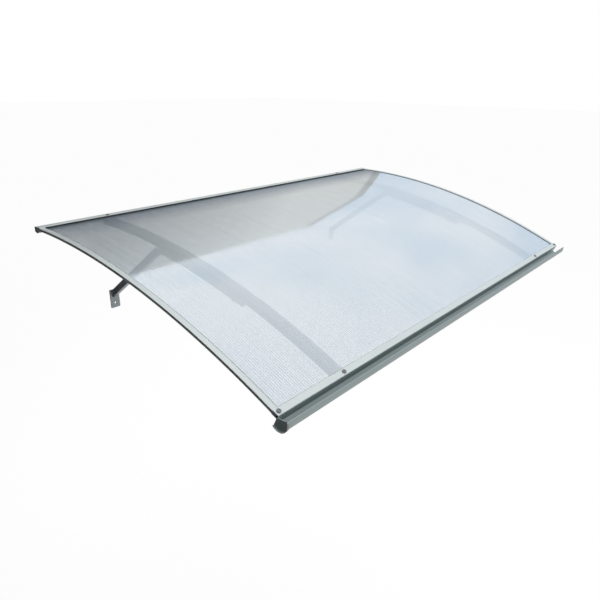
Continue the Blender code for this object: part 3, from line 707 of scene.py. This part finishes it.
def fasten(name, nodes, make, outward, material, sizes):
    """All fasteners of one kind as one piece, standing for their CAD nodes."""
    heads, axes, lengths, radii = zip(*(fastener_axis(node, outward) for node in nodes))
    points = bpy.data.meshes.new(name + "_points")
    points.from_pydata(heads, [], [])
    attribute = points.attributes.new("axis", "FLOAT_VECTOR", "POINT")
    attribute.data.foreach_set("vector", [value for axis in axes for value in axis])
    pattern = placed(name + "_pattern", make(lengths[0], radii[0], sizes))
    mesh = grown(name, points, fastener_tree(), {"Fastener": pattern, "Material": material})
    bpy.data.objects.remove(pattern)
    keep(placed(name, mesh), "steel", *nodes)


def finishes():
    """Every finish by name, made once."""
    colours = bpy.context.scene.canopy_colours
    if "frame along x" not in bpy.data.materials:
        anodised("frame along x", colours.frame, "x")
        anodised("frame along y", colours.frame, "y")
        # The gutter metal's colour holds painted shade as well as its green-grey tint.
        anodised("gutter metal with painted shade", colours.gutter, "x", metallic=0.6, roughness=0.45)
        # The rib metal's dark colour is painted shade, not a darker anodising.
        anodised("rib metal in painted shade", colours.rib, "y", metallic=0.3, roughness=0.5)
        anodised("arm metal", colours.arm, "y", metallic=0.5, roughness=0.45)
        zinc("zinc", colours.steel)
        rubber("seal rubber", colours.rubber)
        moulded("grey caps", colours.cap)
        moulded("black plugs", colours.plug)
        foam("pad foam", colours.pad)
        sheet_outside("sheet outside", colours.sheet)
        sheet_inside("sheet inside", colours.sheet)
    return bpy.data.materials


class CANOPY_OT_roof_sheet(bpy.types.Operator):
    """Fluted polycarbonate sheet"""
    bl_idname = "canopy.roof_sheet"
    bl_label = "Roof sheet"

    def execute(self, context):
        sizes = context.scene.canopy_sizes
        looks = finishes()
        low, high = polar_box("roof_sheet")
        values = bend_values("roof_sheet", looks["sheet outside"], sizes.bend_steps)
        values.update({"Inside": looks["sheet inside"],
                       "Left": float(low[0]), "Width": float(high[0] - low[0]),
                       "Inner Radius": float(low[1]), "Thickness": float(high[1] - low[1]),
                       "Skin": sizes.flute_skin, "Web": sizes.flute_web, "Pitch": sizes.flute_pitch})
        empty = bpy.data.meshes.new("roof_sheet_start")
        mesh = grown("roof_sheet_fluted", empty, fluted_tree(), values)
        keep(placed("roof_sheet_fluted", mesh), "polycarbonate", "roof_sheet")
        return {"FINISHED"}


class CANOPY_OT_bent_pieces(bpy.types.Operator):
    """Side arches and their gaskets, bent along the roof"""
    bl_idname = "canopy.bent_pieces"
    bl_label = "Arches and gaskets"

    def execute(self, context):
        steps = context.scene.canopy_sizes.bend_steps
        looks = finishes()
        tree = bend_tree()
        for side in SIDES:
            rebend("side_arch_" + side, tree, looks["frame along y"], "frame_aluminium", steps)
            rebend("side_gasket_" + side, tree, looks["seal rubber"], "rubber", steps)
        return {"FINISHED"}


class CANOPY_OT_straight_pieces(bpy.types.Operator):
    """Wall profile, clamping strip, gutter, caps and seals"""
    bl_idname = "canopy.straight_pieces"
    bl_label = "Profiles and seals"

    def execute(self, context):
        edge = context.scene.canopy_sizes.edge_radius
        looks = finishes()
        for node in ("wall_profile", "front_strip"):
            dress(node, looks["frame along x"], "frame_aluminium", edge)
        dress("gutter_profile", looks["gutter metal with painted shade"], "gutter_aluminium", edge)
        dress("gutter_end_cap", looks["grey caps"], "cap_plastic", edge)
        for node in ("wall_seal", "front_gasket", "front_seal"):
            dress(node, looks["seal rubber"], "rubber", edge)
        dress("rear_gasket", looks["seal rubber"], "rubber", edge, raise_gasket)
        for side in SIDES:
            for cap in ("wall_profile_cap_", "front_corner_cap_"):
                dress(cap + side, looks["grey caps"], "cap_plastic", edge)
        return {"FINISHED"}


class CANOPY_OT_supports(bpy.types.Operator):
    """Ribs with their pads, and the wall arms with plugs and feet"""
    bl_idname = "canopy.supports"
    bl_label = "Ribs and arms"

    def execute(self, context):
        edge = context.scene.canopy_sizes.edge_radius
        looks = finishes()
        for side in SIDES:
            dress("rib_" + side, looks["rib metal in painted shade"], "frame_aluminium", edge)
            dress("rib_pad_" + side, looks["pad foam"], "pad_plastic", edge)
            dress("arm_" + side, looks["arm metal"], "arm_aluminium", edge)
            dress("arm_plug_" + side, looks["black plugs"], "black_plastic", edge)
            dress("arm_foot_" + side, looks["arm metal"], "arm_aluminium", edge)
        return {"FINISHED"}


class CANOPY_OT_fasteners(bpy.types.Operator):
    """Domed roof screws and hexagon arm bolts"""
    bl_idname = "canopy.fasteners"
    bl_label = "Screws and bolts"

    def execute(self, context):
        sizes = context.scene.canopy_sizes
        # The zinc's dark colour is painted shade round the heads.
        shaded_zinc = finishes()["zinc"]
        roof = [row + side for row in ("front_screw_", "rear_screw_") for side in SIDES]
        corners = ["corner_screw_" + side for side in SIDES]
        bolts = [row + side for row in ("arm_bolt_front_", "arm_bolt_rear_") for side in SIDES]
        fasten("roof_screws", roof, screw_mesh, 1.0, shaded_zinc, sizes)
        fasten("corner_screws", corners, screw_mesh, 1.0, shaded_zinc, sizes)
        fasten("arm_bolts", bolts, bolt_mesh, -1.0, shaded_zinc, sizes)
        return {"FINISHED"}


class CANOPY_OT_stage(bpy.types.Operator):
    """Floor, lamps, white surroundings and the camera at the photograph's place"""
    bl_idname = "canopy.stage"
    bl_label = "Stage"

    def execute(self, context):
        stage = context.scene.canopy_stage
        make_world(stage.ambient)
        make_floor(-stage.floor_drop)
        make_lamp(stage.lamp_power)
        make_facade_card()
        make_dark_card()
        make_camera()
        context.scene.view_settings.view_transform = "Standard"
        return {"FINISHED"}


def seen_directly(tree):
    """1 for the rays that look at the background: the camera's, and those of metal and glass."""
    path = tree.node("ShaderNodeLightPath", output="Is Camera Ray")
    glossy = path.other("Is Glossy Ray")
    return path.math("MAXIMUM", glossy).math("MAXIMUM", path.other("Is Transmission Ray"))


def make_world(ambient):
    """White surroundings, cloudy blue towards the horizon where the roof sheet mirrors them."""
    horizon_blue, cloud_height = (0.58, 0.71, 0.86, 1.0), 1.4
    world = bpy.data.worlds.new("studio")
    world.use_nodes = True
    world.node_tree.nodes.clear()
    tree = Tree(world.node_tree)
    direction = tree.node("ShaderNodeTexCoord", output="Generated")
    clouds = tree.noise(1.5, 1.5, 5.0, detail=3.0, place=direction, scale=2.4)
    height = tree.node("ShaderNodeSeparateXYZ", None, {0: direction}).other("Z")
    whiteness = (height + (clouds - 0.5) * cloud_height).ramp(0.02, 0.78)
    mirrored = tree.node("ShaderNodeLightPath", output="Is Glossy Ray")
    colour = tree.mix(mirrored, WHITE, tree.mix(whiteness, horizon_blue, WHITE))
    strength = seen_directly(tree).span(ambient, 1.0)
    background = tree.node("ShaderNodeBackground", None, {"Color": colour, "Strength": strength})
    tree.node("ShaderNodeOutputWorld", None, {"Surface": background})
    bpy.context.scene.world = world


def make_floor(level):
    """Pale floor: white to the eye, with a soft shadow, and grey to matt surfaces."""
    reach, grey, glow_strength = 60.0, 0.25, 0.88
    material, tree = surface("pale floor")
    matt = tree.node("ShaderNodeBsdfDiffuse", None, {"Color": (grey, grey, grey, 1.0)})
    glow = tree.node("ShaderNodeEmission", None, {"Color": WHITE, "Strength": glow_strength})
    lit = tree.node("ShaderNodeAddShader", None, {0: matt, 1: glow})
    shown = tree.node("ShaderNodeMixShader", None, {0: seen_directly(tree), 1: matt, 2: lit})
    tree.node("ShaderNodeOutputMaterial", None, {"Surface": shown})
    bm = bmesh.new()
    bmesh.ops.create_grid(bm, x_segments=1, y_segments=1, size=reach,
                          matrix=Matrix.Translation((0.0, 0.0, level)))
    placed("floor", as_mesh("floor", bm), material)


def card(name, corners, material, shades):
    """Flat studio card that reflections see, and matt surfaces too if it shades them."""
    mesh = bpy.data.meshes.new(name)
    mesh.from_pydata(corners, [], [tuple(range(len(corners)))])
    sheet = placed(name, mesh, material)
    sheet.visible_camera = False
    sheet.visible_shadow = False
    sheet.visible_transmission = False
    sheet.visible_diffuse = shades


def make_facade_card():
    """Card behind the canopy, which the roof sheet mirrors as it would the wall above the door.

    It is dark low down and grey above, brighter to the right, with a dull edge at its right end, and its
    upper right corner is cut off.
    """
    away, left, right, top = 1.0, -6.0, 2.5, 1.30
    cut_width, cut_height = 0.45, 0.40
    edge_start, edge_end, edge_loss = 2.34, 2.40, 0.34
    low_colour, high_colour = (0.00, 0.03, 0.09, 1.0), (0.66, 0.65, 0.62, 1.0)
    material, tree = surface("facade card")
    place = tree.node("ShaderNodeTexCoord", output="Object")
    x = tree.node("ShaderNodeSeparateXYZ", None, {0: place})
    z = x.other("Z")
    colour = tree.mix(z.ramp(0.18, 0.52), low_colour, high_colour)
    outward = x + cut_width / cut_height * (z - (top - cut_height)).math("MAXIMUM", 0.0)
    strength = x.ramp(0.0, 1.5, 0.30, 1.05) * (1.0 - outward.ramp(edge_start, edge_end, 0.0, edge_loss))
    glow = tree.node("ShaderNodeEmission", None, {"Color": colour, "Strength": strength})
    tree.node("ShaderNodeOutputMaterial", None, {"Surface": glow})
    corners = [(left, away, 0.0), (right, away, 0.0), (right, away, top - cut_height),
               (right - cut_width, away, top), (left, away, top)]
    card("facade_card", corners, material, shades=False)


def make_dark_card():
    """Black card low on the left, which gives the outer sides their dark edges."""
    material, tree = surface("black card")
    matt = tree.node("ShaderNodeBsdfDiffuse", None, {"Color": (0.02, 0.02, 0.02, 1.0)})
    tree.node("ShaderNodeOutputMaterial", None, {"Surface": matt})
    away, low, high, front, back = -1.7, -2.25, 1.0, -5.0, 7.0
    corners = [(away, front, low), (away, back, low), (away, back, high), (away, front, high)]
    card("black_card", corners, material, shades=True)


def make_lamp(power):
    """Wide square lamp above, a little to the right, aimed at the middle of the roof."""
    place, target = Vector((0.5, -0.9, 2.6)), Vector((0.0, -0.45, 0.0))
    lamp = bpy.data.lights.new("overhead lamp", "AREA")
    lamp.shape = "SQUARE"
    lamp.size = 3.0
    lamp.energy = power
    fixture = bpy.data.objects.new("overhead lamp", lamp)
    fixture.location = place
    fixture.rotation_euler = (target - place).to_track_quat("-Z", "Y").to_euler()
    fixture.visible_glossy = False
    bpy.context.scene.collection.objects.link(fixture)


CAMERA_PLACE = Vector((-1.34435, -1.48023, 0.38366))
CAMERA_YAW = math.radians(48.659)       # to the right of straight at the wall
CAMERA_PITCH = math.radians(22.180)     # below level
CAMERA_ROLL = math.radians(0.702)
CAMERA_LENS = 32.494                    # mm on a sensor 36 mm wide


def make_camera():
    """Camera at the photograph's place."""
    camera = bpy.data.cameras.new("camera")
    camera.sensor_width = 36.0
    camera.lens = CAMERA_LENS
    camera.clip_start = 0.01
    camera.clip_end = 200.0
    stand = bpy.data.objects.new("camera", camera)
    turned = Matrix.Rotation(-CAMERA_YAW, 4, "Z") @ Matrix.Rotation(math.pi / 2 - CAMERA_PITCH, 4, "X")
    stand.matrix_world = Matrix.Translation(CAMERA_PLACE) @ turned @ Matrix.Rotation(CAMERA_ROLL, 4, "Z")
    bpy.context.scene.collection.objects.link(stand)
    bpy.context.scene.camera = stand


class CANOPY_PT_panel(bpy.types.Panel):
    bl_label = "Canopy"
    bl_idname = "CANOPY_PT_panel"
    bl_space_type = "VIEW_3D"
    bl_region_type = "UI"
    bl_category = "Canopy"

    def draw(self, context):
        scene = context.scene
        for group in (scene.canopy_sizes, scene.canopy_colours, scene.canopy_stage):
            box = self.layout.box()
            for name in group.bl_rna.properties.keys():
                if name not in ("rna_type", "name"):
                    box.prop(group, name)
        for operator in OPERATORS:
            self.layout.operator(operator.bl_idname)


GROUPS = {"canopy_sizes": CanopySizes, "canopy_colours": CanopyColours, "canopy_stage": CanopyStage}
OPERATORS = (CANOPY_OT_roof_sheet, CANOPY_OT_bent_pieces, CANOPY_OT_straight_pieces,
             CANOPY_OT_supports, CANOPY_OT_fasteners, CANOPY_OT_stage)


def register():
    for cls in (*GROUPS.values(), *OPERATORS, CANOPY_PT_panel):
        bpy.utils.register_class(cls)
    for name, group in GROUPS.items():
        setattr(bpy.types.Scene, name, PointerProperty(type=group))


def unregister():
    for name in GROUPS:
        delattr(bpy.types.Scene, name)
    for cls in reversed((*GROUPS.values(), *OPERATORS, CANOPY_PT_panel)):
        bpy.utils.unregister_class(cls)


def main():
    register()
    bpy.ops.canopy.roof_sheet()
    bpy.ops.canopy.bent_pieces()
    bpy.ops.canopy.straight_pieces()
    bpy.ops.canopy.supports()
    bpy.ops.canopy.fasteners()
    bpy.ops.canopy.stage()


if __name__ == "__main__":
    main()
